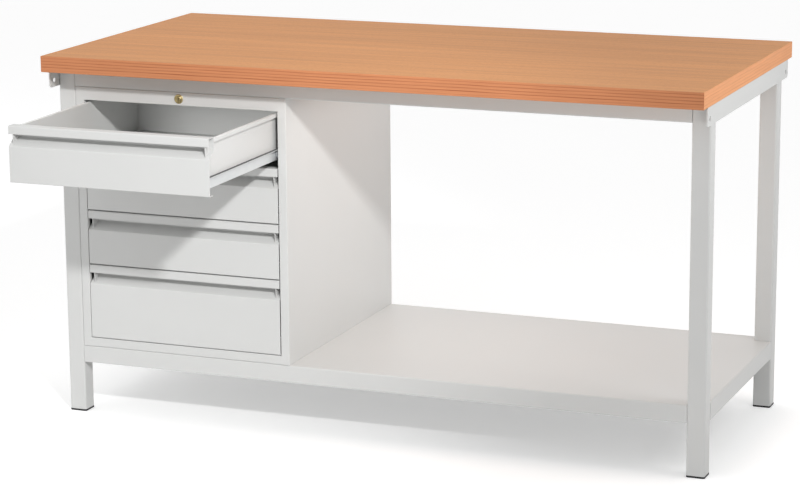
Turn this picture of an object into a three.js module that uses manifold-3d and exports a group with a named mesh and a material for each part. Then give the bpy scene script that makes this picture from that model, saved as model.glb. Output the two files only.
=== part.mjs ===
// Steel workbench with a beech plywood top, a base shelf and a cabinet of four drawers on roller runners.
// Millimetres, +X to the right, +Y to the rear, +Z up. The top drawer stands open.
// The origin is on the floor, under the middle of the whole outline with that drawer open.

import * as THREE from 'three';
import { mergeVertices } from 'three/addons/utils/BufferGeometryUtils.js';
import Module from 'manifold-3d';

const wasm = await Module();
wasm.setup();

// Running and assembly clearance between neighbouring pieces
const FIT = 0.3;

// Worktop
const TOP_LENGTH = 1500;
const TOP_DEPTH = 750;
const TOP_THICKNESS = 36;

// Welded frame
const FRAME_HEIGHT = 790;
const LEG_SIZE = 40;
const LEG_WALL = 2;
const LEG_CORNER_RADIUS = 4;
const END_OVERHANG = 4;
const FRONT_OVERHANG = 73;
const RAIL_HEIGHT = 40;
const LONG_RAIL_DEPTH = 30;
const LONG_RAIL_WALL = 2;

// Angle rails across the two ends, with drilled tabs in front of and behind the legs
const SIDE_RAIL_SHEET = 3;
const SIDE_RAIL_FLANGE = 38;
const TAB_LENGTH = 40;
const TAB_CORNER_RADIUS = 8;
const TAB_HOLE_RADIUS = 5.5;
const TAB_HOLE_RISE = 15;

// Screws: up through the angle rails into the worktop, and up through the cabinet into the long rails
const SCREW_HEAD_RADIUS = 6.5;
const SCREW_HEAD_HEIGHT = 4;
const SCREW_SHANK_RADIUS = 3;
const WORKTOP_SCREW_BITE = 25;
const WORKTOP_SCREW_FROM_LEG = 60;
const CABINET_SCREW_BITE = 10;
const CABINET_SCREW_FROM_MIDDLE = 120;

// Foot caps
const CAP_BASE = 4;
const CAP_PROUD = 0.5;
const CAP_STEM = 18;

// Base shelf
const SHELF_HEIGHT = 156;
const SHELF_SHEET = 2;
const SHELF_FLANGE = 39;

// Drawer cabinet
const CABINET_WIDTH = 510;
const CABINET_SHEET = 1.5;
const STILE_WIDTH = 20;
const STILE_RETURN = 10;
const TOP_BAR_HEIGHT = 29.5;
const BOTTOM_BAR_HEIGHT = 20;

// Drawers, counted from the top
const DRAWER_COUNT = 4;
const SHALLOW_FRONT_HEIGHT = 122;
const FRONT_GAP = 2.5;
const EDGE_GAP = 1.5;
const TOP_DRAWER_OPEN = 336;

// Folded drawer front with a finger grip under its lip
const FRONT_SHEET = 1.5;
const LIP_HEIGHT = 18;
const GRIP_DEPTH = 24;
const GRIP_HEIGHT = 26;
const SLANT_HEIGHT = 18;
const BOTTOM_RETURN = 16;

// Drawer tray
const TRAY_SHEET = 1.5;
const TRAY_BELOW_FRONT_TOP = 4;
const TRAY_ABOVE_FRONT_FOOT = 15;
const TRAY_FROM_BACK = 30;
const RIM_WIDTH = 7;
const RIM_HEIGHT = 8;

// Roller runners
const RUNNER_SHEET = 1.5;
const RUNNER_WIDTH = 9;
const RUNNER_HEIGHT = 25;
const RUNNER_SIDE_GAP = 1.5;
const RUNNER_START = 3;
const TRACK_WIDTH = 13.5;
const TRACK_START = 4;
const TRACK_BACK_GAP = 10;
const GLIDE_LENGTH = 35;
const GLIDE_HEIGHT = 16;
const GLIDE_FROM_END = 5;
const ROLLER_RADIUS = 9.5;
const ROLLER_WIDTH = 6;
const ROLLER_BEHIND_STILE = 1;
const ROLLER_RECESS_RADIUS = 4;
const ROLLER_RECESS_DEPTH = 1.6;
const PIN_RADIUS = 2;
const PIN_HEAD_RADIUS = 3.4;
const PIN_HEAD_LENGTH = 1;
const PIN_SHOULDER_RADIUS = 5;

// Cylinder lock in the cabinet's top bar
const LOCK_FLANGE_RADIUS = 10.5;
const LOCK_FLANGE_HEIGHT = 2;
const LOCK_BARREL_RADIUS = 9;
const LOCK_BARREL_LENGTH = 25;
const LOCK_CORE_RADIUS = 6;
const LOCK_CORE_PROUD = 0.6;
const LOCK_TAIL_RADIUS = 3;
const LOCK_TAIL_LENGTH = 5;
const KEYWAY_WIDTH = 1.6;
const KEYWAY_HEIGHT = 7;
const KEYWAY_DEPTH = 8;
const CAM_REACH = 12.5;
const CAM_WIDTH = 10;
const CAM_THICKNESS = 3;

// Steps round a full circle
const ROUND_STEPS = 16;

// Places that several pieces share
const legOuterX = TOP_LENGTH / 2 - END_OVERHANG;
const legInnerX = legOuterX - LEG_SIZE;
const frontY = FRONT_OVERHANG - TOP_DEPTH / 2;
const rearY = -frontY;
const legTop = FRAME_HEIGHT - SIDE_RAIL_SHEET;
const railBottom = FRAME_HEIGHT - RAIL_HEIGHT;
const cabinetHeight = railBottom - SHELF_HEIGHT;
const cabinetDepth = rearY - frontY;
const cabinetX = FIT + CABINET_WIDTH / 2 - legInnerX;
const cabinetInnerX = CABINET_WIDTH / 2 - CABINET_SHEET;
const openingX = CABINET_WIDTH / 2 - STILE_WIDTH;
const openingTop = cabinetHeight - TOP_BAR_HEIGHT;
const screwX = legOuterX - SIDE_RAIL_FLANGE / 2;
const screwY = rearY - LEG_SIZE - WORKTOP_SCREW_FROM_LEG;
const screwHoleRadius = SCREW_SHANK_RADIUS + FIT;
const railMiddleY = rearY - LONG_RAIL_DEPTH / 2;

// Surface finishes

function lightGreyPaint() {
  return new THREE.MeshStandardMaterial({ color: 0xd9dad6, roughness: 0.42, metalness: 0.0 });
}

function zincPlate() {
  return new THREE.MeshStandardMaterial({ color: 0xc6cbcc, roughness: 0.35, metalness: 0.9 });
}

function beechPlywood() {
  return new THREE.MeshStandardMaterial({ color: 0xd9a06e, roughness: 0.5, metalness: 0.0 });
}

function blackPlastic() {
  return new THREE.MeshStandardMaterial({ color: 0x1c1d1f, roughness: 0.6, metalness: 0.0 });
}

function whiteNylon() {
  return new THREE.MeshStandardMaterial({ color: 0xe6e5de, roughness: 0.5, metalness: 0.0 });
}

function nickelledBrass() {
  return new THREE.MeshStandardMaterial({ color: 0xb9ad86, roughness: 0.3, metalness: 1.0 });
}

// Solid modelling

function solidOf(geometry) {
  const bare = geometry.clone();
  bare.deleteAttribute('normal');
  bare.deleteAttribute('uv');
  const merged = mergeVertices(bare, 1e-4);
  const vertProperties = new Float32Array(merged.attributes.position.array);
  const triVerts = new Uint32Array(merged.index.array);
  return new wasm.Manifold(new wasm.Mesh({ numProp: 3, vertProperties, triVerts }));
}

function geometryOf(solid) {
  const mesh = solid.getMesh();
  const geometry = new THREE.BufferGeometry();
  geometry.setAttribute('position', new THREE.BufferAttribute(new Float32Array(mesh.vertProperties), 3));
  geometry.setIndex(new THREE.BufferAttribute(new Uint32Array(mesh.triVerts), 1));
  geometry.computeVertexNormals();
  return geometry;
}

function join(first, ...others) {
  return geometryOf(others.reduce((solid, other) => solid.add(solidOf(other)), solidOf(first)));
}

function cut(body, ...tools) {
  return geometryOf(tools.reduce((solid, tool) => solid.subtract(solidOf(tool)), solidOf(body)));
}

// Box between two corners
function block([x0, y0, z0], [x1, y1, z1]) {
  const geometry = new THREE.BoxGeometry(x1 - x0, y1 - y0, z1 - z0);
  return geometry.translate((x0 + x1) / 2, (y0 + y1) / 2, (z0 + z1) / 2);
}

// Closed shape through a list of points, counter-clockwise whichever way the list runs
function outline(points) {
  const corners = points.map(([u, v]) => new THREE.Vector2(u, v));
  return new THREE.Shape(THREE.ShapeUtils.isClockWise(corners) ? corners.reverse() : corners);
}

// Points round an arc, in equal steps of about a full circle's share
function arc(u, v, radius, from, to) {
  const steps = Math.ceil(ROUND_STEPS * Math.abs(to - from) / (2 * Math.PI));
  return Array.from({ length: steps + 1 }, (_, i) => {
    const angle = from + (to - from) * i / steps;
    return [u + radius * Math.cos(angle), v + radius * Math.sin(angle)];
  });
}

function disc(u, v, radius) {
  return outline(arc(u, v, radius, 0, 2 * Math.PI).slice(1));
}

function roundedSquare(size, radius) {
  const middle = size / 2 - radius;
  return outline([
    ...arc(middle, -middle, radius, -Math.PI / 2, 0),
    ...arc(middle, middle, radius, 0, Math.PI / 2),
    ...arc(-middle, middle, radius, Math.PI / 2, Math.PI),
    ...arc(-middle, -middle, radius, Math.PI, 1.5 * Math.PI),
  ]);
}

// Lower and upper end of a stretch between two distances from the middle, on one side of it
function span(side, near, far) {
  return side > 0 ? [near, far] : [-far, -near];
}

function straight(shape, length) {
  return new THREE.ExtrudeGeometry(shape, { depth: length, bevelEnabled: false });
}

// Prism along X from a shape drawn in Y and Z
function alongX(shape, x0, x1) {
  const axes = new THREE.Matrix4().makeBasis(
    new THREE.Vector3(0, 1, 0),
    new THREE.Vector3(0, 0, 1),
    new THREE.Vector3(1, 0, 0),
  );
  return straight(shape, x1 - x0).applyMatrix4(axes).translate(x0, 0, 0);
}

// Prism along Y from a shape drawn in X and Z
function alongY(shape, y0, y1) {
  const axes = new THREE.Matrix4().makeBasis(
    new THREE.Vector3(1, 0, 0),
    new THREE.Vector3(0, 0, 1),
    new THREE.Vector3(0, -1, 0),
  );
  return straight(shape, y1 - y0).applyMatrix4(axes).translate(0, y1, 0);
}

// Prism along Z from a shape drawn in X and Y
function alongZ(shape, z0, z1) {
  return straight(shape, z1 - z0).translate(0, 0, z0);
}

// Path moved sideways by a distance, to the left of its direction, with mitred corners
function shifted(path, distance) {
  const points = path.map(([u, v]) => new THREE.Vector2(u, v));
  const leftOf = (a, b) => {
    const along = b.clone().sub(a).normalize();
    return new THREE.Vector2(-along.y, along.x);
  };
  return points.map((point, i) => {
    const before = leftOf(points[Math.max(i - 1, 0)], points[Math.max(i, 1)]);
    const last = points.length - 1;
    const after = leftOf(points[Math.min(i, last - 1)], points[Math.min(i + 1, last)]);
    const mitre = before.clone().add(after);
    mitre.multiplyScalar(distance / (1 + before.dot(after)));
    return [point.x + mitre.x, point.y + mitre.y];
  });
}

// Section of a sheet folded along a path, with its thickness to the left of the path
function foldedSheet(path, thickness) {
  return outline([...path, ...shifted(path, thickness).reverse()]);
}

function mirrored(path) {
  return path.map(([u, v]) => [-u, v]).reverse();
}

// Turned piece about the Y axis, from radius and Y pairs
function turnedAboutY(profile) {
  return new THREE.LatheGeometry(profile.map(([r, y]) => new THREE.Vector2(r, y)), ROUND_STEPS);
}

// Turned piece about the X axis, from radius and X pairs
function turnedAboutX(profile) {
  return turnedAboutY(profile).rotateZ(-Math.PI / 2);
}

// Turned piece about the Z axis, from radius and Z pairs
function turnedAboutZ(profile) {
  return turnedAboutY(profile).rotateX(Math.PI / 2);
}

// Upright screw with its head below and a pointed tip above
function screw(headTop, tip) {
  return turnedAboutZ([
    [0, headTop - SCREW_HEAD_HEIGHT],
    [SCREW_HEAD_RADIUS, headTop - SCREW_HEAD_HEIGHT],
    [SCREW_HEAD_RADIUS, headTop],
    [SCREW_SHANK_RADIUS, headTop],
    [SCREW_SHANK_RADIUS, tip - SCREW_SHANK_RADIUS],
    [0, tip],
  ]);
}

function place(parent, name, geometry, material) {
  const mesh = new THREE.Mesh(geometry, material);
  mesh.name = name;
  parent.add(mesh);
  return mesh;
}

const bench = new THREE.Group();
const outlineFront = Math.min(frontY - TOP_DRAWER_OPEN, -TOP_DEPTH / 2);
bench.position.y = -(outlineFront + TOP_DEPTH / 2) / 2;

const ends = [['left', -1], ['right', 1]];
const depths = [['front', -1], ['rear', 1]];

// Worktop: glued plywood panel, drilled from below for its screws
const pilots = ends.flatMap(([, sx]) => depths.map(([, sy]) => {
  const hole = disc(sx * screwX, sy * screwY, screwHoleRadius);
  return alongZ(hole, FRAME_HEIGHT - FIT, FRAME_HEIGHT + WORKTOP_SCREW_BITE + FIT);
}));
const topPanel = block(
  [-TOP_LENGTH / 2, -TOP_DEPTH / 2, FRAME_HEIGHT],
  [TOP_LENGTH / 2, TOP_DEPTH / 2, FRAME_HEIGHT + TOP_THICKNESS],
);
place(bench, 'worktop', cut(topPanel, ...pilots), beechPlywood());

// Legs: square tubes on plastic caps
for (const [endName, sx] of ends) {
  for (const [depthName, sy] of depths) {
    const leg = new THREE.Group();
    leg.position.set(sx * (legOuterX - LEG_SIZE / 2), sy * (rearY - LEG_SIZE / 2), 0);
    bench.add(leg);

    const tube = roundedSquare(LEG_SIZE, LEG_CORNER_RADIUS);
    const bore = LEG_SIZE - 2 * LEG_WALL;
    const boreRadius = LEG_CORNER_RADIUS - LEG_WALL;
    tube.holes.push(roundedSquare(bore, boreRadius));
    place(leg, `leg_${depthName}_${endName}`, alongZ(tube, CAP_BASE, legTop), lightGreyPaint());

    const base = alongZ(roundedSquare(LEG_SIZE + 2 * CAP_PROUD, LEG_CORNER_RADIUS + CAP_PROUD), 0, CAP_BASE);
    const stemShape = roundedSquare(bore - 2 * FIT, boreRadius);
    const stem = alongZ(stemShape, CAP_BASE / 2, CAP_BASE + CAP_STEM);
    place(leg, `foot_cap_${depthName}_${endName}`, join(base, stem), blackPlastic());
  }
}

// Side rails: angle steel over the leg tops, its upright flange on the legs' outer faces
for (const [endName, sx] of ends) {
  const tabEnd = rearY + TAB_LENGTH;
  const cornerY = tabEnd - TAB_CORNER_RADIUS;
  const cornerZ = railBottom + TAB_CORNER_RADIUS;
  const upright = outline([
    [-tabEnd, FRAME_HEIGHT],
    ...arc(-cornerY, cornerZ, TAB_CORNER_RADIUS, Math.PI, 1.5 * Math.PI),
    ...arc(cornerY, cornerZ, TAB_CORNER_RADIUS, -Math.PI / 2, 0),
    [tabEnd, FRAME_HEIGHT],
  ]);
  for (const [, sy] of depths) {
    upright.holes.push(disc(sy * (rearY + TAB_LENGTH / 2), railBottom + TAB_HOLE_RISE, TAB_HOLE_RADIUS));
  }
  const outerX = legOuterX + SIDE_RAIL_SHEET;
  const plate = alongX(upright, ...span(sx, legOuterX, outerX));
  const [flangeLow, flangeHigh] = span(sx, legOuterX - SIDE_RAIL_FLANGE, outerX);
  const flange = block([flangeLow, -tabEnd, legTop], [flangeHigh, tabEnd, FRAME_HEIGHT]);
  const holes = depths.map(([, sy]) => {
    const hole = disc(sx * screwX, sy * screwY, screwHoleRadius);
    return alongZ(hole, legTop - FIT, FRAME_HEIGHT + FIT);
  });
  place(bench, `side_rail_${endName}`, cut(join(plate, flange), ...holes), lightGreyPaint());

  for (const [depthName, sy] of depths) {
    const driven = screw(legTop - FIT, FRAME_HEIGHT + WORKTOP_SCREW_BITE);
    const mesh = place(bench, `worktop_screw_${depthName}_${endName}`, driven, zincPlate());
    mesh.position.set(sx * screwX, sy * screwY, 0);
  }
}

// Long rails: rectangular tubes between the leg tops, front and rear
for (const [depthName, sy] of depths) {
  const tube = outline([
    [sy * rearY, railBottom],
    [sy * (rearY - LONG_RAIL_DEPTH), railBottom],
    [sy * (rearY - LONG_RAIL_DEPTH), FRAME_HEIGHT],
    [sy * rearY, FRAME_HEIGHT],
  ]);
  tube.holes.push(outline([
    [sy * (rearY - LONG_RAIL_WALL), railBottom + LONG_RAIL_WALL],
    [sy * (rearY - LONG_RAIL_DEPTH + LONG_RAIL_WALL), railBottom + LONG_RAIL_WALL],
    [sy * (rearY - LONG_RAIL_DEPTH + LONG_RAIL_WALL), FRAME_HEIGHT - LONG_RAIL_WALL],
    [sy * (rearY - LONG_RAIL_WALL), FRAME_HEIGHT - LONG_RAIL_WALL],
  ]));
  const hole = disc(cabinetX + sy * CABINET_SCREW_FROM_MIDDLE, sy * railMiddleY, screwHoleRadius);
  const drilling = alongZ(hole, railBottom - FIT, railBottom + LONG_RAIL_WALL + FIT);
  const rail = cut(alongX(tube, -legInnerX, legInnerX), drilling);
  place(bench, `long_rail_${depthName}`, rail, lightGreyPaint());
}

// Base shelf: one sheet folded down on four sides and notched round the legs
const notchX = legInnerX - FIT;
const notchY = rearY - LEG_SIZE - FIT;
const shelfOutline = outline([
  [-notchX, -rearY], [notchX, -rearY], [notchX, -notchY], [legOuterX, -notchY],
  [legOuterX, notchY], [notchX, notchY], [notchX, rearY], [-notchX, rearY],
  [-notchX, notchY], [-legOuterX, notchY], [-legOuterX, -notchY], [-notchX, -notchY],
]);
const shelfFoot = SHELF_HEIGHT - SHELF_FLANGE;
const shelfTop = alongZ(shelfOutline, SHELF_HEIGHT - SHELF_SHEET, SHELF_HEIGHT);
const shelfFlanges = [
  block([-notchX, -rearY, shelfFoot], [notchX, -rearY + SHELF_SHEET, SHELF_HEIGHT]),
  block([-notchX, rearY - SHELF_SHEET, shelfFoot], [notchX, rearY, SHELF_HEIGHT]),
  block([-legOuterX, -notchY, shelfFoot], [-legOuterX + SHELF_SHEET, notchY, SHELF_HEIGHT]),
  block([legOuterX - SHELF_SHEET, -notchY, shelfFoot], [legOuterX, notchY, SHELF_HEIGHT]),
];
place(bench, 'base_shelf', join(shelfTop, ...shelfFlanges), lightGreyPaint());

// Cabinet: folded sheet sides, top and floor with a flush front frame, and a flat back.
// It stands on the shelf against the left legs. Its own zero is its front plane, on the shelf, mid-width.
const cabinet = new THREE.Group();
cabinet.position.set(cabinetX, frontY, SHELF_HEIGHT);
bench.add(cabinet);

const sidePath = [
  [openingX, STILE_RETURN],
  [openingX, 0],
  [CABINET_WIDTH / 2, 0],
  [CABINET_WIDTH / 2, cabinetDepth],
];
for (const [endName, sx] of ends) {
  const section = foldedSheet(sx > 0 ? sidePath : mirrored(sidePath), CABINET_SHEET);
  place(cabinet, `cabinet_side_${endName}`, alongZ(section, 0, cabinetHeight), lightGreyPaint());
}

const backInner = cabinetDepth - CABINET_SHEET;
const panelX = cabinetInnerX - FIT;
const panelFront = STILE_RETURN + FIT;
const panelRear = backInner - FIT;

const topPath = [
  [panelRear, cabinetHeight],
  [0, cabinetHeight],
  [0, openingTop],
  [STILE_RETURN, openingTop],
];
const topFold = alongX(foldedSheet(topPath, CABINET_SHEET), -openingX, openingX);
const topSheet = block(
  [-panelX, panelFront, cabinetHeight - CABINET_SHEET],
  [panelX, panelRear, cabinetHeight],
);
const lockZ = openingTop + TOP_BAR_HEIGHT / 2;
const lockHole = alongY(disc(0, lockZ, LOCK_BARREL_RADIUS + FIT), -FIT, CABINET_SHEET + FIT);
const screwHeadTop = cabinetHeight - CABINET_SHEET - FIT;
const topHoles = depths.map(([depthName, sy]) => {
  const x = sy * CABINET_SCREW_FROM_MIDDLE;
  const y = sy * railMiddleY - frontY;
  const driven = screw(screwHeadTop, cabinetHeight + CABINET_SCREW_BITE);
  const mesh = place(cabinet, `cabinet_screw_${depthName}`, driven, zincPlate());
  mesh.position.set(x, y, 0);
  return alongZ(disc(x, y, screwHoleRadius), screwHeadTop, cabinetHeight + FIT);
});
place(cabinet, 'cabinet_top', cut(join(topFold, topSheet), lockHole, ...topHoles), lightGreyPaint());

const floorPath = [
  [STILE_RETURN, BOTTOM_BAR_HEIGHT],
  [0, BOTTOM_BAR_HEIGHT],
  [0, 0],
  [panelRear, 0],
];
const floorFold = alongX(foldedSheet(floorPath, CABINET_SHEET), -openingX, openingX);
const floorSheet = block([-panelX, panelFront, 0], [panelX, panelRear, CABINET_SHEET]);
place(cabinet, 'cabinet_floor', join(floorFold, floorSheet), lightGreyPaint());

place(cabinet, 'cabinet_back', block([-panelX, backInner, 0], [panelX, cabinetDepth, cabinetHeight]),
  lightGreyPaint());

// Lock: flanged barrel in the top bar, a turning core with a keyway, and a short cam on the core's tail
const lock = new THREE.Group();
lock.position.z = lockZ;
cabinet.add(lock);

const coreEnd = LOCK_BARREL_LENGTH + FIT;
const boreRadius = LOCK_CORE_RADIUS + FIT;
place(lock, 'lock_barrel', turnedAboutY([
  [boreRadius, -LOCK_FLANGE_HEIGHT],
  [LOCK_FLANGE_RADIUS, -LOCK_FLANGE_HEIGHT],
  [LOCK_FLANGE_RADIUS, -FIT],
  [LOCK_BARREL_RADIUS, -FIT],
  [LOCK_BARREL_RADIUS, LOCK_BARREL_LENGTH],
  [boreRadius, LOCK_BARREL_LENGTH],
  [boreRadius, -LOCK_FLANGE_HEIGHT],
]), nickelledBrass());

const coreFace = -LOCK_FLANGE_HEIGHT - LOCK_CORE_PROUD;
const core = turnedAboutY([
  [0, coreFace],
  [LOCK_CORE_RADIUS, coreFace],
  [LOCK_CORE_RADIUS, coreEnd],
  [LOCK_TAIL_RADIUS, coreEnd],
  [LOCK_TAIL_RADIUS, coreEnd + LOCK_TAIL_LENGTH],
  [0, coreEnd + LOCK_TAIL_LENGTH],
]);
const keyway = block(
  [-KEYWAY_WIDTH / 2, coreFace - FIT, -KEYWAY_HEIGHT / 2],
  [KEYWAY_WIDTH / 2, coreFace + KEYWAY_DEPTH, KEYWAY_HEIGHT / 2],
);
place(lock, 'lock_core', cut(core, keyway), nickelledBrass());

const camEnd = CAM_REACH - CAM_WIDTH / 2;
const camShape = outline([
  ...arc(0, 0, CAM_WIDTH / 2, -Math.PI / 2, Math.PI / 2),
  ...arc(-camEnd, 0, CAM_WIDTH / 2, Math.PI / 2, 1.5 * Math.PI),
]);
camShape.holes.push(disc(0, 0, LOCK_TAIL_RADIUS + FIT));
place(lock, 'lock_cam', alongY(camShape, coreEnd + FIT, coreEnd + FIT + CAM_THICKNESS), zincPlate());

// Drawer sizes that every drawer shares, from the cabinet's middle plane and the front's outer face
const frontX = openingX - EDGE_GAP;
const runnerOuterX = openingX - RUNNER_SIDE_GAP;
const trayX = runnerOuterX - RUNNER_WIDTH;
const trayStart = GRIP_DEPTH + FRONT_SHEET + FIT;
const trayEnd = backInner - TRAY_FROM_BACK;
const trackX = cabinetInnerX - TRACK_WIDTH;
const rollerOuterX = runnerOuterX - (RUNNER_WIDTH - RUNNER_SHEET - ROLLER_WIDTH) / 2;
const rollerInnerX = rollerOuterX - ROLLER_WIDTH;
const rollerY = STILE_RETURN + ROLLER_BEHIND_STILE + PIN_SHOULDER_RADIUS;
const openingHeight = openingTop - BOTTOM_BAR_HEIGHT;
const shallowCount = DRAWER_COUNT - 1;
const deepFrontHeight = openingHeight - 2 * EDGE_GAP - shallowCount * (SHALLOW_FRONT_HEIGHT + FRONT_GAP);

// Front: one sheet folded back into a finger grip and forward again into the lip.
// Two plates in line with the tray's walls close the grip near its ends.
function drawerFront(height) {
  const path = [
    [BOTTOM_RETURN, -height],
    [0, -height],
    [0, -GRIP_HEIGHT - SLANT_HEIGHT],
    [GRIP_DEPTH, -GRIP_HEIGHT],
    [GRIP_DEPTH, -FRONT_SHEET],
    [FRONT_SHEET, -FRONT_SHEET],
    [FRONT_SHEET, -LIP_HEIGHT],
  ];
  const sheet = alongX(foldedSheet(path, -FRONT_SHEET), -frontX, frontX);
  const middle = shifted(path, -FRONT_SHEET / 2);
  const gripSection = outline([[0, path[2][1]], ...middle.slice(2, 6), [0, middle[5][1]]]);
  const plates = ends.map(([, sx]) => alongX(gripSection, ...span(sx, trayX - TRAY_SHEET, trayX)));
  return { path, geometry: join(sheet, ...plates) };
}

// Tray: folded sheet with turned-out rims, and side walls that reach forward to the front's inner face
function drawerTray(height, frontPath) {
  const top = -TRAY_BELOW_FRONT_TOP;
  const foot = TRAY_ABOVE_FRONT_FOOT - height;
  const innerX = trayX - TRAY_SHEET;
  const rimX = trayX + RIM_WIDTH;
  const halfPath = [
    [rimX, top - RIM_HEIGHT],
    [rimX, top],
    [innerX, top],
    [innerX, foot + TRAY_SHEET],
  ];
  const channel = alongY(foldedSheet([...halfPath, ...mirrored(halfPath)], TRAY_SHEET), trayStart, trayEnd);
  const frontWall = block([-trayX, trayStart, foot], [trayX, trayStart + TRAY_SHEET, top]);
  const backWall = block([-trayX, trayEnd - TRAY_SHEET, foot], [trayX, trayEnd, top]);
  const inside = shifted(frontPath, -FRONT_SHEET - FIT);
  const wing = outline([
    [inside[1][0], foot],
    inside[2],
    inside[3],
    [trayStart + TRAY_SHEET, inside[3][1]],
    [trayStart + TRAY_SHEET, foot],
  ]);
  return join(
    channel, frontWall, backWall, alongX(wing, innerX, trayX), alongX(wing, -trayX, -innerX),
  );
}

// Drawer runner: angle strip on the tray's wall, with a glide block at its rear end
function drawerRunner(height, side) {
  const foot = TRAY_ABOVE_FRONT_FOOT - height;
  const top = foot + RUNNER_HEIGHT;
  const path = [[trayX, foot], [trayX, top], [runnerOuterX, top]];
  const section = foldedSheet(side > 0 ? path : mirrored(path), -RUNNER_SHEET);
  const strip = alongY(section, RUNNER_START, trayEnd);
  const glideEnd = trayEnd - GLIDE_FROM_END;
  const [glideLow, glideHigh] = span(side, trayX + RUNNER_SHEET / 2, cabinetInnerX - RUNNER_SHEET - FIT);
  const glideTop = top - RUNNER_SHEET - FIT;
  const glide = block(
    [glideLow, glideEnd - GLIDE_LENGTH, glideTop - GLIDE_HEIGHT],
    [glideHigh, glideEnd, glideTop],
  );
  return join(strip, glide);
}

// Height of the roller's axis over the front's foot
function rollerAxis(height) {
  return TRAY_ABOVE_FRONT_FOOT - height + RUNNER_HEIGHT - RUNNER_SHEET - FIT - ROLLER_RADIUS;
}

// Cabinet track: channel that holds the glide block, with a shouldered pin for the roller at its front end
function cabinetTrack(height, side) {
  const glideTop = TRAY_ABOVE_FRONT_FOOT - height + RUNNER_HEIGHT - RUNNER_SHEET - FIT;
  const top = glideTop + FIT + RUNNER_SHEET;
  const foot = glideTop - GLIDE_HEIGHT - FIT - RUNNER_SHEET;
  const path = [[trackX, top], [cabinetInnerX, top], [cabinetInnerX, foot], [trackX, foot]];
  const section = foldedSheet(side > 0 ? path : mirrored(path), -RUNNER_SHEET);
  const channel = alongY(section, TRACK_START, backInner - TRACK_BACK_GAP);
  const headBase = rollerInnerX + ROLLER_RECESS_DEPTH - FIT;
  const headFace = headBase - PIN_HEAD_LENGTH;
  const pin = turnedAboutX([
    [0, headFace],
    [PIN_HEAD_RADIUS, headFace],
    [PIN_HEAD_RADIUS, headBase],
    [PIN_RADIUS, headBase],
    [PIN_RADIUS, rollerOuterX + FIT],
    [PIN_SHOULDER_RADIUS, rollerOuterX + FIT],
    [PIN_SHOULDER_RADIUS, cabinetInnerX - RUNNER_SHEET / 2],
    [0, cabinetInnerX - RUNNER_SHEET / 2],
  ]);
  if (side < 0) {
    pin.rotateZ(Math.PI);
  }
  pin.translate(0, rollerY, rollerAxis(height));
  return join(channel, pin);
}

// Roller: nylon wheel with a recess for the pin's head
function roller(side) {
  const boreEdge = PIN_RADIUS + FIT;
  const recessEnd = rollerInnerX + ROLLER_RECESS_DEPTH;
  const wheel = turnedAboutX([
    [boreEdge, recessEnd],
    [ROLLER_RECESS_RADIUS, recessEnd],
    [ROLLER_RECESS_RADIUS, rollerInnerX],
    [ROLLER_RADIUS, rollerInnerX],
    [ROLLER_RADIUS, rollerOuterX],
    [boreEdge, rollerOuterX],
    [boreEdge, recessEnd],
  ]);
  return side > 0 ? wheel : wheel.rotateZ(Math.PI);
}

// Four drawers from the top down, each with its pair of tracks and rollers in the cabinet
let frontTop = openingTop - EDGE_GAP;
for (let n = 1; n <= DRAWER_COUNT; n += 1) {
  const height = n < DRAWER_COUNT ? SHALLOW_FRONT_HEIGHT : deepFrontHeight;
  const open = n === 1 ? TOP_DRAWER_OPEN : 0;

  const drawer = new THREE.Group();
  drawer.position.set(0, -open, frontTop);
  cabinet.add(drawer);
  const front = drawerFront(height);
  place(drawer, `drawer_${n}_front`, front.geometry, lightGreyPaint());
  place(drawer, `drawer_${n}_tray`, drawerTray(height, front.path), lightGreyPaint());

  const bay = new THREE.Group();
  bay.position.set(0, 0, frontTop);
  cabinet.add(bay);
  for (const [endName, sx] of ends) {
    place(drawer, `drawer_${n}_runner_${endName}`, drawerRunner(height, sx), zincPlate());
    place(bay, `drawer_${n}_track_${endName}`, cabinetTrack(height, sx), zincPlate());
    const wheel = place(bay, `drawer_${n}_roller_${endName}`, roller(sx), whiteNylon());
    wheel.position.set(0, rollerY, rollerAxis(height));
  }
  frontTop -= height + FRONT_GAP;
}

export default bench;
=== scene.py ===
import math

import bmesh
import bpy
from mathutils import Matrix, Vector


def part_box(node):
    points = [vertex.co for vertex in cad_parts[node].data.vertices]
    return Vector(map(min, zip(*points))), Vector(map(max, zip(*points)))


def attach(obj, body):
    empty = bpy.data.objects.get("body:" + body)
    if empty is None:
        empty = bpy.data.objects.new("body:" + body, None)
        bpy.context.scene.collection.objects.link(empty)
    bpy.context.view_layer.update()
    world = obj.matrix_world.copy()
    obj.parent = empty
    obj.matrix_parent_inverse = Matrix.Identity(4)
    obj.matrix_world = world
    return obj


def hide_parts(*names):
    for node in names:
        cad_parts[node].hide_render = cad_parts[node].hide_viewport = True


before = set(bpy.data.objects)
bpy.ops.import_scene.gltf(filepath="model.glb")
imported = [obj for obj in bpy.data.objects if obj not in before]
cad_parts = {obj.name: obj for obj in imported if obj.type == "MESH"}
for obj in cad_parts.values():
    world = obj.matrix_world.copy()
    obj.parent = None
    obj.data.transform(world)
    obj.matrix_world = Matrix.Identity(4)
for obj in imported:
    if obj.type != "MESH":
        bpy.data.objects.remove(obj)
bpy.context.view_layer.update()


# Legs: four square steel tubes with rounded corners, powder coated light grey.
# They are welded to the rails above and stand on plastic caps pushed into their open feet.

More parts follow.
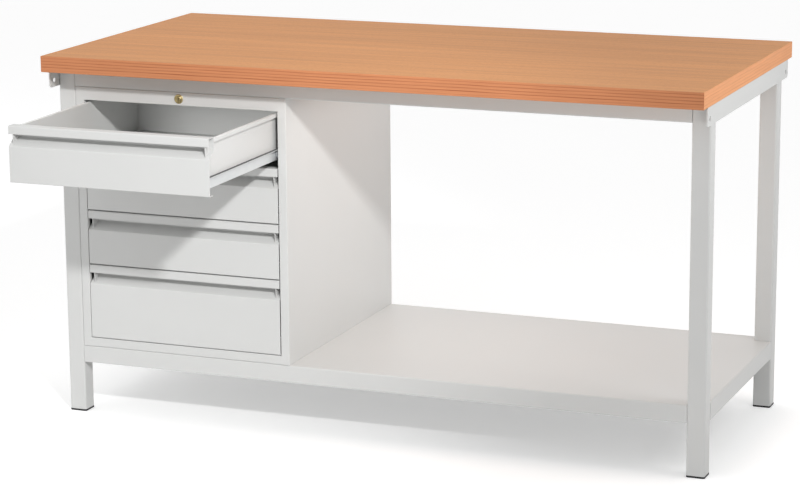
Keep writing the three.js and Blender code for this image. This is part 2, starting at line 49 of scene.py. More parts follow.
class Value:
    """One output socket of a node tree, so that shader maths reads as plain maths."""

    def __init__(self, tree, socket):
        self.tree = tree
        self.socket = socket

    def node(self, kind, settings, inputs, output=0):
        made = self.tree.nodes.new("ShaderNode" + kind)
        for key, value in settings.items():
            setattr(made, key, value)
        for key, value in inputs.items():
            if isinstance(value, Value):
                self.tree.links.new(value.socket, made.inputs[key])
            else:
                made.inputs[key].default_value = value
        return Value(self.tree, made.outputs[output])

    def maths(self, operation, *values):
        return self.node("Math", {"operation": operation}, dict(enumerate(values)))

    def __add__(self, other):
        return self.maths("ADD", self, other)

    __radd__ = __add__

    def __sub__(self, other):
        return self.maths("SUBTRACT", self, other)

    def __rsub__(self, other):
        return self.maths("SUBTRACT", other, self)

    def __mul__(self, other):
        return self.maths("MULTIPLY", self, other)

    __rmul__ = __mul__

    def stretched(self, x, y, z):
        return self.node("VectorMath", {"operation": "MULTIPLY"}, {0: self, 1: (x, y, z)})

    def noise(self, scale, detail):
        return self.node("TexNoise", {}, {"Vector": self, "Scale": scale, "Detail": detail})

    def ramp(self, low, high):
        settings = {"interpolation_type": "SMOOTHSTEP"}
        return self.node("MapRange", settings, {"Value": self, "From Min": low, "From Max": high})

    def mixed(self, first, second):
        return self.node("Mix", {"data_type": "RGBA"}, {0: self, 6: first, 7: second}, output=2)

    def bump(self, strength, distance):
        return self.node("Bump", {}, {"Height": self, "Strength": strength, "Distance": distance})

    def into(self, shader, key):
        self.tree.links.new(self.socket, shader.inputs[key])


def finish_of(name, constants):
    """New material, its shader with the constant inputs set, and the object coordinates."""
    material = bpy.data.materials.new(f"{name}_finish")
    material["slot"] = name
    material.use_nodes = True
    shader = material.node_tree.nodes["Principled BSDF"]
    for key, value in constants.items():
        shader.inputs[key].default_value = value
    place = material.node_tree.nodes.new("ShaderNodeTexCoord")
    return material, shader, Value(material.node_tree, place.outputs["Object"])


def boxed(lo, hi):
    """Mesh of a box between two corners."""
    bm = bmesh.new()
    lo = Vector(lo)
    hi = Vector(hi)
    size = Matrix.Diagonal((*(hi - lo), 1))
    bmesh.ops.create_cube(bm, size=1, matrix=Matrix.Translation((lo + hi) / 2) @ size)
    return bm


def bevelled(bm, geom, radius, segments, affect="EDGES"):
    """Rounds edges or corners of a mesh."""
    bmesh.ops.bevel(bm, geom=geom, offset=radius, offset_type="OFFSET", segments=segments,
                    profile=0.5, affect=affect, clamp_overlap=True, material=-1)


def rounded(bm, axes, radius, segments):
    """Rounds every edge that runs along one of the axes."""
    edges = []
    for edge in bm.edges:
        run = (edge.verts[1].co - edge.verts[0].co).normalized()
        if any(abs(run[axis]) > 0.999 for axis in axes):
            edges.append(edge)
    bevelled(bm, edges, radius, segments)
    return bm


SHARP = math.radians(40)


def piece(name, bm, material, body, *nodes, soft=0.0003):
    """Object from a mesh, its sharp edges softened, that rides a body and stands for CAD nodes."""
    bmesh.ops.recalc_face_normals(bm, faces=bm.faces)
    mesh = bpy.data.meshes.new(name)
    bm.to_mesh(mesh)
    bm.free()
    mesh.materials.append(material)
    mesh.polygons.foreach_set("use_smooth", [True] * len(mesh.polygons))
    mesh.set_sharp_from_angle(angle=SHARP)
    made = bpy.data.objects.new(name, mesh)
    bpy.context.scene.collection.objects.link(made)
    edge = made.modifiers.new("edge", "BEVEL")
    edge.width = soft
    edge.segments = 2
    edge.limit_method = "ANGLE"
    edge.angle_limit = SHARP
    made.modifiers.new("normals", "WEIGHTED_NORMAL").keep_sharp = True
    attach(made, body)
    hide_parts(*nodes)
    return made


grey_paint, shader, point = finish_of("grey_paint", {"Specular IOR Level": 0.3})
cloud = point.noise(5, 4)
cloud.mixed((0.595, 0.598, 0.588, 1), (0.635, 0.638, 0.63, 1)).into(shader, "Base Color")
(0.34 + 0.14 * cloud).into(shader, "Roughness")
point.noise(650, 1).bump(0.10, 0.0003).into(shader, "Normal")

LEG_CORNER = 0.004
CORNERS = [(depth, end) for depth in ("front", "rear") for end in ("left", "right")]
for depth, end in CORNERS:
    node = f"leg_{depth}_{end}"
    tube = rounded(boxed(*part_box(node)), (2,), LEG_CORNER, segments=6)
    piece(f"tube_{depth}_{end}", tube, grey_paint, "bench", node)


# Foot caps: black moulded plastic, one under each leg.
# A stem holds each cap in its tube, and only the base with its rounded rim shows.

foot_plastic, shader, point = finish_of("foot_plastic", {"Specular IOR Level": 0.35})
grain = point.noise(900, 2)
grain.mixed((0.010, 0.010, 0.011, 1), (0.018, 0.018, 0.020, 1)).into(shader, "Base Color")
(0.5 + 0.2 * grain).into(shader, "Roughness")
grain.bump(0.2, 0.0002).into(shader, "Normal")

CAP_CORNER = 0.0045
for depth, end in CORNERS:
    lo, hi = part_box(f"foot_cap_{depth}_{end}")
    hi.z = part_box(f"leg_{depth}_{end}")[0].z
    base = rounded(boxed(lo, hi), (2,), CAP_CORNER, segments=6)
    piece(f"cap_{depth}_{end}", base, foot_plastic, "bench", f"foot_cap_{depth}_{end}", soft=0.0008)


# Side rails: angle steel across each end, welded on top of the legs and over their outer faces.
# The upright flange runs past the legs as two tabs, each with a rounded corner and a drilled hole.

def bent(path, along, sheet, radius):
    """Mesh of a sheet bent along a path and swept along a vector.
    Its thickness lies to the left of the path as seen against the sweep, or to the right if negative."""
    bm = bmesh.new()
    along = Vector(along)
    near = [bm.verts.new(p) for p in path]
    far = [bm.verts.new(Vector(p) + along) for p in path]
    for i in range(len(path) - 1):
        bm.faces.new((near[i], near[i + 1], far[i + 1], far[i]))
    folds = [bm.edges.get((near[i], far[i])) for i in range(1, len(path) - 1)]
    bevelled(bm, folds, radius, segments=5)
    bm.normal_update()
    if sheet:
        bmesh.ops.solidify(bm, geom=bm.faces[:], thickness=sheet)
    return bm


def largest(bm, axis):
    """The largest face across an axis."""
    across = [face for face in bm.faces if abs(face.normal[axis]) > 0.99]
    return max(across, key=lambda face: face.calc_area())


def pierced(bm, face, circles):
    """Cuts round holes, given as matrices and radii, in a flat face."""
    edges = list(face.edges)
    for matrix, radius in circles:
        rim = bmesh.ops.create_circle(bm, segments=32, radius=radius, matrix=matrix)["verts"]
        edges += {edge for vert in rim for edge in vert.link_edges}
    normal = face.normal.copy()
    bmesh.ops.delete(bm, geom=[face], context="FACES_ONLY")
    bmesh.ops.triangle_fill(bm, edges=edges, use_beauty=True, normal=normal)
    bm.normal_update()


def mirrored(bm, middle):
    """Mirrors a mesh about the upright plane at x = middle."""
    for vert in bm.verts:
        vert.co.x = 2 * middle - vert.co.x
    bmesh.ops.reverse_faces(bm, faces=bm.faces)
    return bm


RAIL_BEND = 0.0012
TAB_CORNER = 0.008
TAB_HOLE = 0.0055
TAB_HOLE_HEIGHT = 0.015
for end in ("left", "right"):
    lo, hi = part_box("side_rail_right")
    sheet = hi.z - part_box("leg_front_right")[1].z
    rail = bent([(hi.x, hi.y, lo.z), (hi.x, hi.y, hi.z), (lo.x, hi.y, hi.z)],
                (0, lo.y - hi.y, 0), 0, RAIL_BEND)
    tab_corners = [vert for vert in rail.verts if vert.co.z < lo.z + RAIL_BEND]
    bevelled(rail, tab_corners, TAB_CORNER, segments=6, affect="VERTICES")
    rail.normal_update()
    front_tab = (lo.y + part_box("leg_front_right")[0].y) / 2
    rear_tab = (hi.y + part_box("leg_rear_right")[1].y) / 2
    turn = Matrix.Rotation(math.pi / 2, 4, "Y")
    holes = []
    for y in (front_tab, rear_tab):
        holes.append((Matrix.Translation((hi.x, y, lo.z + TAB_HOLE_HEIGHT)) @ turn, TAB_HOLE))
    pierced(rail, largest(rail, 0), holes)
    bmesh.ops.solidify(rail, geom=rail.faces[:], thickness=sheet)
    if end == "left":
        mirrored(rail, 0)
    piece(f"angle_{end}", rail, grey_paint, "bench", f"side_rail_{end}", soft=0.0004)


# Long rails: rectangular steel tubes welded between the leg tops, front and rear.
# Their corners are rounded, and a fine joint line shows where each end meets a leg.

RAIL_CORNER = 0.003
for depth in ("front", "rear"):
    node = f"long_rail_{depth}"
    tube = rounded(boxed(*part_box(node)), (0,), RAIL_CORNER, segments=5)
    piece(f"rail_{depth}", tube, grey_paint, "bench", node, soft=0.0006)


# Base shelf: one steel sheet folded down on all four sides, with its corners cut out round the legs.
# Its bends are soft, and it is welded to the inner faces of the legs.

def verts_of(geom):
    """The vertices among what an operator made."""
    return [part for part in geom if isinstance(part, bmesh.types.BMVert)]


SHELF_SHEET = 0.002
SHELF_BEND = 0.004
FIT = 0.0003
lo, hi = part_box("base_shelf")
notch_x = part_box("leg_front_right")[0].x - FIT
notch_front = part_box("leg_front_right")[1].y + FIT
notch_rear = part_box("leg_rear_right")[0].y - FIT
shelf = bmesh.new()
ring = [(-notch_x, lo.y), (notch_x, lo.y), (notch_x, notch_front), (hi.x, notch_front),
        (hi.x, notch_rear), (notch_x, notch_rear), (notch_x, hi.y), (-notch_x, hi.y),
        (-notch_x, notch_rear), (lo.x, notch_rear), (lo.x, notch_front), (-notch_x, notch_front)]
verts = [shelf.verts.new((x, y, hi.z)) for x, y in ring]
shelf.faces.new(verts)
folds = [shelf.edges.get((verts[i], verts[i + 1])) for i in range(0, len(ring), 3)]
flange_feet = verts_of(bmesh.ops.extrude_edge_only(shelf, edges=folds)["geom"])
bmesh.ops.translate(shelf, verts=flange_feet, vec=(0, 0, lo.z - hi.z))
bevelled(shelf, folds, SHELF_BEND, segments=5)
bmesh.ops.recalc_face_normals(shelf, faces=shelf.faces)
if largest(shelf, 2).normal.z < 0:
    bmesh.ops.reverse_faces(shelf, faces=shelf.faces)
shelf.normal_update()
bmesh.ops.solidify(shelf, geom=shelf.faces[:], thickness=SHELF_SHEET)
piece("shelf", shelf, grey_paint, "bench", "base_shelf")


# Worktop: a thick panel of many beech veneers, glued crosswise, with its edges just broken.
# It lies on the frame and is held from below by screws through the side rails.

PLIES = 11


def plywood_edge(name, light, dark, first):
    """Edge of the panel: long-grain and end-grain layers in turn, the darker ones thin and uneven."""
    material, shader, point = finish_of(name, {"Specular IOR Level": 0.2})
    lo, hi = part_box("worktop")
    height = point.node("SeparateXYZ", {}, {0: point}, output=2)
    wander = point.stretched(5, 5, 60).noise(1, 3) - 0.5
    layer = (height - lo.z) * (PLIES / (hi.z - lo.z)) + 0.9 * wander
    index = layer.maths("FLOOR", layer)
    pair = (layer + first) * 0.5
    off = pair.maths("FRACT", pair) - 0.75
    off = off.maths("ABSOLUTE", off)
    patch = point.stretched(9, 9, 140).noise(1, 3).ramp(0.3, 0.7)
    strength = index.node("TexWhiteNoise", {"noise_dimensions": "1D"}, {"W": index + first})
    crossed = (1 - off.ramp(0.04, 0.20)) * (0.1 + 0.9 * strength) * (0.45 + 0.55 * patch)
    streak = point.stretched(14, 14, 500).noise(1, 4)
    pores = point.stretched(420, 420, 160).noise(1, 3)
    long_grain = streak.mixed((*[c * 0.8 for c in light], 1), (*[c * 1.2 for c in light], 1))
    end_grain = pores.mixed((*[c * 0.8 for c in dark], 1), (*[c * 1.2 for c in dark], 1))
    crossed.mixed(long_grain, end_grain).into(shader, "Base Color")
    (0.55 + 0.2 * streak).into(shader, "Roughness")
    (streak - 0.5 * crossed * pores).bump(0.3, 0.0003).into(shader, "Normal")
    return material


beech, shader, point = finish_of("beech_plywood", {"Specular IOR Level": 0.2})
bands = point.stretched(0.7, 14, 1).noise(1, 3)
streak = point.stretched(2.5, 110, 1).noise(1, 6)
fleck = point.stretched(110, 900, 1).noise(1, 1).ramp(0.56, 0.70)
tone = bands.ramp(0.25, 0.75) * 0.3 + streak.ramp(0.25, 0.75) * 0.7
plain = tone.mixed((0.50, 0.222, 0.078, 1), (0.67, 0.305, 0.115, 1))
(fleck * 0.4).mixed(plain, (0.30, 0.12, 0.045, 1)).into(shader, "Base Color")
(0.52 + 0.16 * streak).into(shader, "Roughness")
(streak - 0.5 * fleck).bump(0.15, 0.0002).into(shader, "Normal")
beech_front = plywood_edge("beech_front", (0.55, 0.22, 0.10), (0.24, 0.055, 0.02), 0)
# The end edge has lighter colours than the front edge: painted light for the brightly lit right end, laid
# over its own long-grain and end-grain layers.
beech_end = plywood_edge("beech_end", (0.76, 0.35, 0.165), (0.60, 0.24, 0.10), 1)

TOP_EDGE = 0.0012
worktop = rounded(boxed(*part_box("worktop")), (0, 1, 2), TOP_EDGE, segments=3)
panel = piece("panel", worktop, beech, "bench", "worktop")
panel.data.materials.append(beech_front)
panel.data.materials.append(beech_end)
FLAT, FRONT, END = range(3)
for face in panel.data.polygons:
    facing = [abs(part) for part in face.normal]
    face.material_index = (END, FRONT, FLAT)[facing.index(max(facing))]


# Screws: zinc-plated steel, with a round socket in a domed head.
# Four go up through the side rails into the worktop, two up through the cabinet's top into the long rails.

def turned(profile, centre, axis, steps=48):
    """Mesh turned about an axis through a point, from pairs of radius and place along the axis."""
    bm = bmesh.new()
    axis = Vector(axis)
    side = axis.orthogonal().normalized()
    verts = [bm.verts.new(Vector(centre) + side * radius + axis * place) for radius, place in profile]
    edges = [bm.edges.new(pair) for pair in zip(verts, verts[1:])]
    bmesh.ops.spin(bm, geom=verts + edges, cent=centre, axis=axis, angle=2 * math.pi,
                   steps=steps, use_merge=True)
    bmesh.ops.remove_doubles(bm, verts=bm.verts[:], dist=1e-6)
    return bm


screw_zinc, shader, point = finish_of("screw_zinc", {"Metallic": 1.0})
cloud = point.noise(260, 3)
cloud.mixed((0.52, 0.54, 0.56, 1), (0.66, 0.67, 0.68, 1)).into(shader, "Base Color")
(0.26 + 0.2 * cloud).into(shader, "Roughness")

SOCKET_RADIUS = 0.0024
SOCKET_RIM = 0.0028
SOCKET_DEPTH = 0.0016
DOME = [(0.0042, 0.0003), (0.0056, 0.0012), (0.0064, 0.0026)]
HEAD_RADIUS = 0.0065
HEAD_HEIGHT = 0.004
SHANK_RADIUS = 0.003
SCREWS = [f"worktop_screw_{depth}_{end}" for depth, end in CORNERS]
SCREWS += ["cabinet_screw_front", "cabinet_screw_rear"]
for node in SCREWS:
    lo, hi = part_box(node)
    middle = (lo + hi) / 2
    length = hi.z - lo.z
    profile = [(0, SOCKET_DEPTH), (SOCKET_RADIUS, SOCKET_DEPTH), (SOCKET_RIM, 0), *DOME,
               (HEAD_RADIUS, HEAD_HEIGHT), (SHANK_RADIUS, HEAD_HEIGHT),
               (SHANK_RADIUS, length - SHANK_RADIUS), (0, length)]
    screw = turned(profile, (middle.x, middle.y, lo.z), (0, 0, 1))
    piece(node.replace("screw", "bolt"), screw, screw_zinc, "bench", node, soft=0.0001)


# Cabinet sides: steel sheets whose front edges are folded round into flush stiles.
# The stiles return inwards beside the drawers, and both sides stand on the base shelf.

def joined(*parts):
    """One mesh from several."""
    bm = bmesh.new()
    for part in parts:
        mesh = bpy.data.meshes.new("part")
        part.to_mesh(mesh)
        part.free()
        bm.from_mesh(mesh)
        bpy.data.meshes.remove(mesh)
    return bm


SHEET = 0.0015
SHEET_BEND = 0.0018
STILE_RETURN = 0.010
lo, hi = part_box("cabinet_side_right")
open_x = lo.x
cabinet_x = (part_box("cabinet_side_left")[0].x + hi.x) / 2
for end in ("left", "right"):
    path = [(open_x, lo.y + STILE_RETURN, lo.z), (open_x, lo.y, lo.z),
            (hi.x, lo.y, lo.z), (hi.x, hi.y, lo.z)]
    side = bent(path, (0, 0, hi.z - lo.z), SHEET, SHEET_BEND)
    if end == "left":
        mirrored(side, cabinet_x)
    piece(f"cabinet_wall_{end}", side, grey_paint, "bench", f"cabinet_side_{end}")


# Cabinet top, floor and back: folded sheets welded between the sides.
# The top turns down into the bar that holds the lock, and the floor turns up into the bottom bar.

BAR_GAP = 0.0015
BAR_OVERLAP = 0.0018
LOCK_HOLE = 0.0093
right_x = open_x + BAR_OVERLAP
left_x = 2 * cabinet_x - right_x


def margins(lo, hi, foot):
    """The strips of sheet to the left and right of a bar, from behind the stiles to the back."""
    front = lo.y + STILE_RETURN + FIT
    return [boxed((lo.x, front, foot), (left_x, hi.y, foot + SHEET)),
            boxed((right_x, front, foot), (hi.x, hi.y, foot + SHEET))]


lo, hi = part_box("cabinet_top")
bar_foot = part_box("drawer_1_front")[1].z + BAR_GAP
path = [(left_x, hi.y, hi.z), (left_x, lo.y, hi.z),
        (left_x, lo.y, bar_foot), (left_x, lo.y + STILE_RETURN, bar_foot)]
top = bent(path, (right_x - left_x, 0, 0), 0, SHEET_BEND)
lock = sum(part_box("lock_barrel"), Vector()) / 2
turn = Matrix.Rotation(math.pi / 2, 4, "X")
pierced(top, largest(top, 1), [(Matrix.Translation((lock.x, lo.y, lock.z)) @ turn, LOCK_HOLE)])
bmesh.ops.solidify(top, geom=top.faces[:], thickness=SHEET)
lid = joined(top, *margins(lo, hi, hi.z - SHEET))
piece("cabinet_lid", lid, grey_paint, "bench", "cabinet_top", soft=0.00005)

lo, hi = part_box("cabinet_floor")
path = [(left_x, lo.y + STILE_RETURN, hi.z), (left_x, lo.y, hi.z),
        (left_x, lo.y, lo.z), (left_x, hi.y, lo.z)]
base = bent(path, (right_x - left_x, 0, 0), SHEET, SHEET_BEND)
base = joined(base, *margins(lo, hi, lo.z))
piece("cabinet_base", base, grey_paint, "bench", "cabinet_floor", soft=0.00005)

piece("cabinet_rear", boxed(*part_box("cabinet_back")), grey_paint, "bench", "cabinet_back")


# Lock: a brass barrel whose flange sits on the top bar, and a brass core with a keyway.
# A zinc cam on the core's tail swings behind the bar.

lock_brass, shader, point = finish_of("lock_brass", {"Metallic": 1.0})
cloud = point.noise(320, 3)
cloud.mixed((0.42, 0.33, 0.15, 1), (0.62, 0.51, 0.27, 1)).into(shader, "Base Color")
(0.24 + 0.2 * cloud).into(shader, "Roughness")

LOCK_BORE = 0.0063
BORE_EDGE = 0.0004
FLANGE_ROUND = [(0.0088, 0), (0.0098, 0.0003), (0.0105, 0.0011)]
FLANGE_RADIUS = 0.0105
FLANGE_SHEET = 0.0017
BARREL_RADIUS = 0.009
lo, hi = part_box("lock_barrel")
deep = hi.y - lo.y
profile = [(LOCK_BORE, BORE_EDGE), (LOCK_BORE + BORE_EDGE, 0), *FLANGE_ROUND,
           (FLANGE_RADIUS, FLANGE_SHEET), (BARREL_RADIUS, FLANGE_SHEET), (BARREL_RADIUS, deep),
           (LOCK_BORE, deep), (LOCK_BORE, BORE_EDGE)]
barrel = turned(profile, (lock.x, lo.y, lock.z), (0, 1, 0))
piece("lock_shell", barrel, lock_brass, "bench", "lock_barrel", soft=0.0001)

CORE_ROUND = [(0.0048, 0), (0.0055, 0.0001), (0.006, 0.0006)]
CORE_RADIUS = 0.006
TAIL_RADIUS = 0.003
TAIL_LENGTH = 0.005
KEYWAY_WIDTH = 0.0016
KEYWAY_HEIGHT = 0.007
KEYWAY_DEPTH = 0.008
lo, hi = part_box("lock_core")
deep = hi.y - lo.y
profile = [*CORE_ROUND, (CORE_RADIUS, deep - TAIL_LENGTH), (TAIL_RADIUS, deep - TAIL_LENGTH),
           (TAIL_RADIUS, deep), (0, deep)]
core = turned(profile, (lock.x, lo.y, lock.z), (0, 1, 0))
rim = [edge for edge in core.edges if edge.is_boundary]
keyway = []
for x, z in ((-0.5, -0.5), (0.5, -0.5), (0.5, 0.5), (-0.5, 0.5)):
    keyway.append(core.verts.new((lock.x + x * KEYWAY_WIDTH, lo.y, lock.z + z * KEYWAY_HEIGHT)))
sides = [core.edges.new((keyway[i - 1], keyway[i])) for i in range(4)]
bmesh.ops.triangle_fill(core, edges=rim + sides, use_beauty=True, normal=(0, -1, 0))
keyway_end = verts_of(bmesh.ops.extrude_edge_only(core, edges=sides)["geom"])
bmesh.ops.translate(core, verts=keyway_end, vec=(0, KEYWAY_DEPTH, 0))
core.faces.new(keyway_end)
piece("lock_plug", core, lock_brass, "lock_core", "lock_core", soft=0.0001)

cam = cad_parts["lock_cam"].data
cam.materials.clear()
cam.materials.append(screw_zinc)


# Tracks and rollers: a zinc-plated channel on each side wall for each drawer, with a pin at its front end.
# A nylon roller turns on the pin and carries the drawer's runner.

runner_zinc, shader, point = finish_of("runner_zinc", {"Metallic": 0.4})
cloud = point.stretched(1, 0.35, 1).noise(90, 4)
cloud.mixed((0.60, 0.62, 0.63, 1), (0.72, 0.74, 0.74, 1)).into(shader, "Base Color")
(0.30 + 0.22 * cloud).into(shader, "Roughness")

roller_nylon, shader, point = finish_of("roller_nylon", {"Specular IOR Level": 0.4})
cloud = point.noise(180, 3)
cloud.mixed((0.24, 0.25, 0.26, 1), (0.34, 0.35, 0.36, 1)).into(shader, "Base Color")
(0.38 + 0.18 * cloud).into(shader, "Roughness")

DRAWERS = range(1, 5)
TRACK_WIDTH = 0.0135
PIN_RADIUS = 0.002
PIN_HEAD = [(0.003, 0), (0.0034, 0.0004), (0.0034, 0.001)]
PIN_HEAD_HEIGHT = 0.001
SHOULDER_RADIUS = 0.005
ROLLER_BORE = 0.0023
RECESS_RADIUS = 0.004
RECESS_DEPTH = 0.0016
RECESS_EDGE = 0.0002
TREAD_ROUND = [(0.0088, 0), (0.0093, 0.0002), (0.0095, 0.0007)]
for n in DRAWERS:
    for end in ("left", "right"):
        lo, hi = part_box(f"drawer_{n}_track_right")
        wheel_lo, wheel_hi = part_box(f"drawer_{n}_roller_right")
        axle = (wheel_lo + wheel_hi) / 2
        inner = hi.x - TRACK_WIDTH
        path = [(inner, hi.y, hi.z), (hi.x, hi.y, hi.z), (hi.x, hi.y, lo.z), (inner, hi.y, lo.z)]
        channel = bent(path, (0, lo.y - hi.y, 0), -SHEET, SHEET_BEND)
        reach = hi.x - SHEET / 2 - lo.x
        shoulder = wheel_hi.x + FIT - lo.x
        profile = [(0, 0), *PIN_HEAD, (PIN_RADIUS, PIN_HEAD_HEIGHT), (PIN_RADIUS, shoulder),
                   (SHOULDER_RADIUS, shoulder), (SHOULDER_RADIUS, reach), (0, reach)]
        pin = turned(profile, (lo.x, axle.y, axle.z), (1, 0, 0), steps=32)
        track = joined(channel, pin)
        width = wheel_hi.x - wheel_lo.x
        far_round = [(radius, width - place) for radius, place in reversed(TREAD_ROUND)]
        profile = [(ROLLER_BORE, RECESS_DEPTH), (RECESS_RADIUS, RECESS_DEPTH), (RECESS_RADIUS, RECESS_EDGE),
                   (RECESS_RADIUS + RECESS_EDGE, 0), *TREAD_ROUND, *far_round, (ROLLER_BORE, width),
                   (ROLLER_BORE, RECESS_DEPTH)]
        wheel = turned(profile, (wheel_lo.x, axle.y, axle.z), (1, 0, 0))
        if end == "left":
            mirrored(track, cabinet_x)
            mirrored(wheel, cabinet_x)
        piece(f"channel_{n}_{end}", track, runner_zinc, "bench", f"drawer_{n}_track_{end}")
        piece(f"wheel_{n}_{end}", wheel, roller_nylon, f"roller_{n}_{end}", f"drawer_{n}_roller_{end}",
              soft=0.0001)


# Drawer fronts: one steel sheet each, folded back under the lip into a finger grip and in at the foot.
# Two small plates close the grip in line with the tray's walls.

def prism(outline, along):
    """Mesh of a flat outline swept along a vector."""
    bm = bmesh.new()
    face = bm.faces.new([bm.verts.new(p) for p in outline])
    swept = bmesh.ops.extrude_face_region(bm, geom=[face])["geom"]
    bmesh.ops.translate(bm, verts=verts_of(swept), vec=along)
    return bm


FRONT_BEND = 0.0016
FOOT_RETURN = 0.016
LIP = 0.018
GRIP_DEPTH = 0.024
GRIP_HEAD = 0.026
GRIP_FOOT = 0.044
PLATE_LIP = 0.016
PLATE_HEAD = 0.0265
PLATE_FOOT = 0.0415
PLATE_INSET = 0.004
for n in DRAWERS:
    lo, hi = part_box(f"drawer_{n}_front")
    grip = lo.y + GRIP_DEPTH
    path = [(lo.x, lo.y + FOOT_RETURN, lo.z), (lo.x, lo.y, lo.z), (lo.x, lo.y, hi.z - GRIP_FOOT),
            (lo.x, grip, hi.z - GRIP_HEAD), (lo.x, grip, hi.z - SHEET),
            (lo.x, lo.y + SHEET, hi.z - SHEET), (lo.x, lo.y + SHEET, hi.z - LIP)]
    sheet = bent(path, (hi.x - lo.x, 0, 0), -SHEET, FRONT_BEND)
    tray_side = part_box(f"drawer_{n}_runner_right")[0].x
    plates = []
    for x in (tray_side - SHEET, 2 * cabinet_x - tray_side):
        section = [(x, lo.y + PLATE_INSET, hi.z - PLATE_FOOT), (x, grip, hi.z - PLATE_HEAD),
                   (x, grip, hi.z - SHEET), (x, lo.y + SHEET, hi.z - SHEET),
                   (x, lo.y + SHEET, hi.z - PLATE_LIP)]
        plates.append(prism(section, (SHEET, 0, 0)))
    piece(f"front_{n}", joined(sheet, *plates), grey_paint, f"drawer_{n}", f"drawer_{n}_front")


# Drawer trays: folded steel sheet with turned-out rims, and end walls welded in.
# The side walls reach forward to the back of the front and are welded to it.

RIM_RETURN = 0.008
WING_HEAD = 0.027
WING_FOOT = 0.0451
for n in DRAWERS:
    lo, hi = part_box(f"drawer_{n}_tray")
    front_lo, front_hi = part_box(f"drawer_{n}_front")
    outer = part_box(f"drawer_{n}_runner_right")[0].x
    inner = outer - SHEET
    far_outer = 2 * cabinet_x - outer
    start = front_lo.y + GRIP_DEPTH + SHEET + FIT
    right_half = [(hi.x, hi.z - RIM_RETURN), (hi.x, hi.z), (inner, hi.z), (inner, lo.z + SHEET)]
    section = right_half + [(2 * cabinet_x - x, z) for x, z in reversed(right_half)]
    channel = bent([(x, hi.y, z) for x, z in section], (0, start - hi.y, 0), SHEET, SHEET_BEND)
    walls = [boxed((far_outer, start, lo.z), (outer, start + SHEET, hi.z)),
             boxed((far_outer, hi.y - SHEET, lo.z), (outer, hi.y, hi.z))]
    wing = [(lo.y, lo.z), (lo.y, front_hi.z - WING_FOOT), (start, front_hi.z - WING_HEAD),
            (start + SHEET, front_hi.z - WING_HEAD), (start + SHEET, lo.z)]
    wings = [prism([(x, y, z) for y, z in wing], (SHEET, 0, 0)) for x in (inner, far_outer)]
    piece(f"tray_{n}", joined(channel, *walls, *wings), grey_paint, f"drawer_{n}", f"drawer_{n}_tray")


# Drawer runners: zinc-plated angle strips spot welded along the foot of each tray wall.
# Each ends at the rear in a glide block that runs in the cabinet's channel.
# The top of the flange is painted near-black: painted shade that stands in for the shadow line under the
# tray's wall.

# Painted shade: a near-black finish drawn where the tray's wall casts a thin shadow on the runner.
painted_shade_flange, shader, point = finish_of("painted_shade_flange", {"Specular IOR Level": 0.2})
cloud = point.noise(200, 2)
cloud.mixed((0.09, 0.094, 0.096, 1), (0.13, 0.135, 0.138, 1)).into(shader, "Base Color")
(0.5 + 0.2 * cloud).into(shader, "Roughness")

RUNNER_BEND = 0.0016
RUNNER_GAP = 0.0015
GLIDE_HEIGHT = 0.016
GLIDE_FRONT = 0.040
GLIDE_REAR = 0.005
for n in DRAWERS:
    for end in ("left", "right"):
        lo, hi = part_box(f"drawer_{n}_runner_right")
        path = [(lo.x, hi.y, lo.z), (lo.x, hi.y, hi.z), (open_x - RUNNER_GAP, hi.y, hi.z)]
        strip = bent(path, (0, lo.y - hi.y, 0), -SHEET, RUNNER_BEND)
        glide_top = hi.z - SHEET - FIT
        glide = boxed((lo.x + SHEET / 2, hi.y - GLIDE_FRONT, glide_top - GLIDE_HEIGHT),
                      (hi.x, hi.y - GLIDE_REAR, glide_top))
        runner = joined(strip, glide)
        if end == "left":
            mirrored(runner, cabinet_x)
        made = piece(f"strip_{n}_{end}", runner, runner_zinc, f"drawer_{n}", f"drawer_{n}_runner_{end}")
        # The upward faces at the flange's top take the near-black painted shade finish.
        made.data.materials.append(painted_shade_flange)
        for face in made.data.polygons:
            if face.normal.z > 0.9 and face.center.z > hi.z - SHEET / 2:
                face.material_index = 1


# Studio: a wide pale floor in a white surround that gives less light from the right, and five lamps.
# The key lamp stands to the front right and is aimed at the cabinet.
# Three small ones fill the open bay, the shelf and the end, and the last one lights the trays alone.

def shown(place):
    """One for rays that show the background: from the camera, or off or through a shiny surface."""
    rays = ("Is Camera Ray", "Is Glossy Ray", "Is Transmission Ray")
    seen, shiny, through = [place.node("LightPath", {}, {}, output=ray) for ray in rays]
    return seen.maths("MAXIMUM", seen, seen.maths("MAXIMUM", shiny, through))


FLOOR_REACH = 60
constants = {"Roughness": 0.9, "Specular IOR Level": 0.1, "Emission Strength": 0.3}
floor_finish, shader, point = finish_of("studio_floor", constants)
cloud = point.noise(0.8, 2)
cloud.mixed((0.89, 0.89, 0.89, 1), (0.91, 0.91, 0.91, 1)).into(shader, "Base Color")
shown(point).mixed((0, 0, 0, 1), (1, 1, 1, 1)).into(shader, "Emission Color")
mesh = bpy.data.meshes.new("studio_floor")
bm = bmesh.new()
bmesh.ops.create_grid(bm, x_segments=1, y_segments=1, size=FLOOR_REACH)
bm.to_mesh(mesh)
bm.free()
mesh.materials.append(floor_finish)
ground = bpy.data.objects.new("studio_floor", mesh)
bpy.context.scene.collection.objects.link(ground)

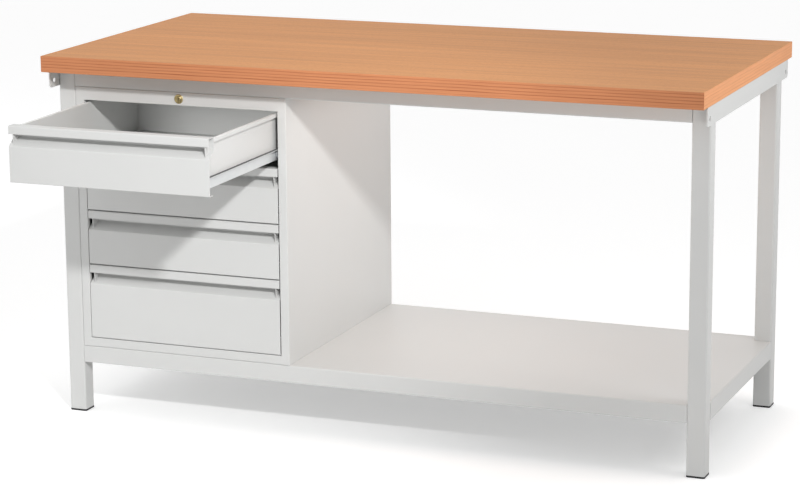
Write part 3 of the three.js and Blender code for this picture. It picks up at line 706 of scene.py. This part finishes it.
world = bpy.data.worlds.new("studio")
bpy.context.scene.world = world
world.use_nodes = True
tree = world.node_tree
background = tree.nodes["Background"]
place = Value(tree, tree.nodes.new("ShaderNodeTexCoord").outputs["Generated"])
right = Vector((0.9, -0.3, 0.3)).normalized()
facing = place.node("VectorMath", {"operation": "DOT_PRODUCT"}, {0: place, 1: right}, output=1)
seen = shown(place)
light = 0.975 - 0.95 * facing.ramp(0.2, 1.0)
(seen + (1 - seen) * light).into(background, "Strength")
background.inputs["Color"].default_value = (1, 1, 1, 1)

LAMPS = {"key": ("SPOT", 650, (2.35, -3.46, 2.95), (-0.45, -0.17, 0.68)),
         "bay": ("AREA", 8, (1.9, -1.9, 0.5), (0.1, 0.1, 0.4)),
         "shelf": ("AREA", 1.8, (0.25, 0.13, 0.74), (0.25, 0.131, 0.1)),
         "end": ("AREA", 7, (1.7, 0.0, 1.3), (0.75, 0.1, 0.75)),
         "trays": ("AREA", 30, (-1.05, -1.7, 1.15), (-0.45, 0.1, 0.64))}
for name, (kind, watts, spot, target) in LAMPS.items():
    lamp = bpy.data.objects.new(name, bpy.data.lights.new(name, kind))
    lamp.data.energy = watts
    lamp.location = spot
    lamp.rotation_euler = (Vector(spot) - Vector(target)).to_track_quat("Z", "Y").to_euler()
    lamp.visible_camera = False
    bpy.context.scene.collection.objects.link(lamp)
    if kind == "SPOT":
        lamp.data.spot_size = math.radians(26)
        lamp.data.spot_blend = 1
        lamp.data.shadow_soft_size = 0.14
    else:
        lamp.data.size = 0.8

trays = bpy.data.collections.new("trays")
for n in DRAWERS:
    trays.objects.link(bpy.data.objects[f"tray_{n}"])
bpy.data.objects["trays"].light_linking.receiver_collection = trays

camera = bpy.data.objects.new("camera", bpy.data.cameras.new("camera"))
camera.data.lens = 118.0
camera.location = (2.0945, -5.2512, 1.6791)
camera.rotation_euler = [math.radians(angle) for angle in (77.251, 0.391, 21.661)]
bpy.context.scene.collection.objects.link(camera)
bpy.context.scene.camera = camera
bpy.context.scene.view_settings.view_transform = "Standard"
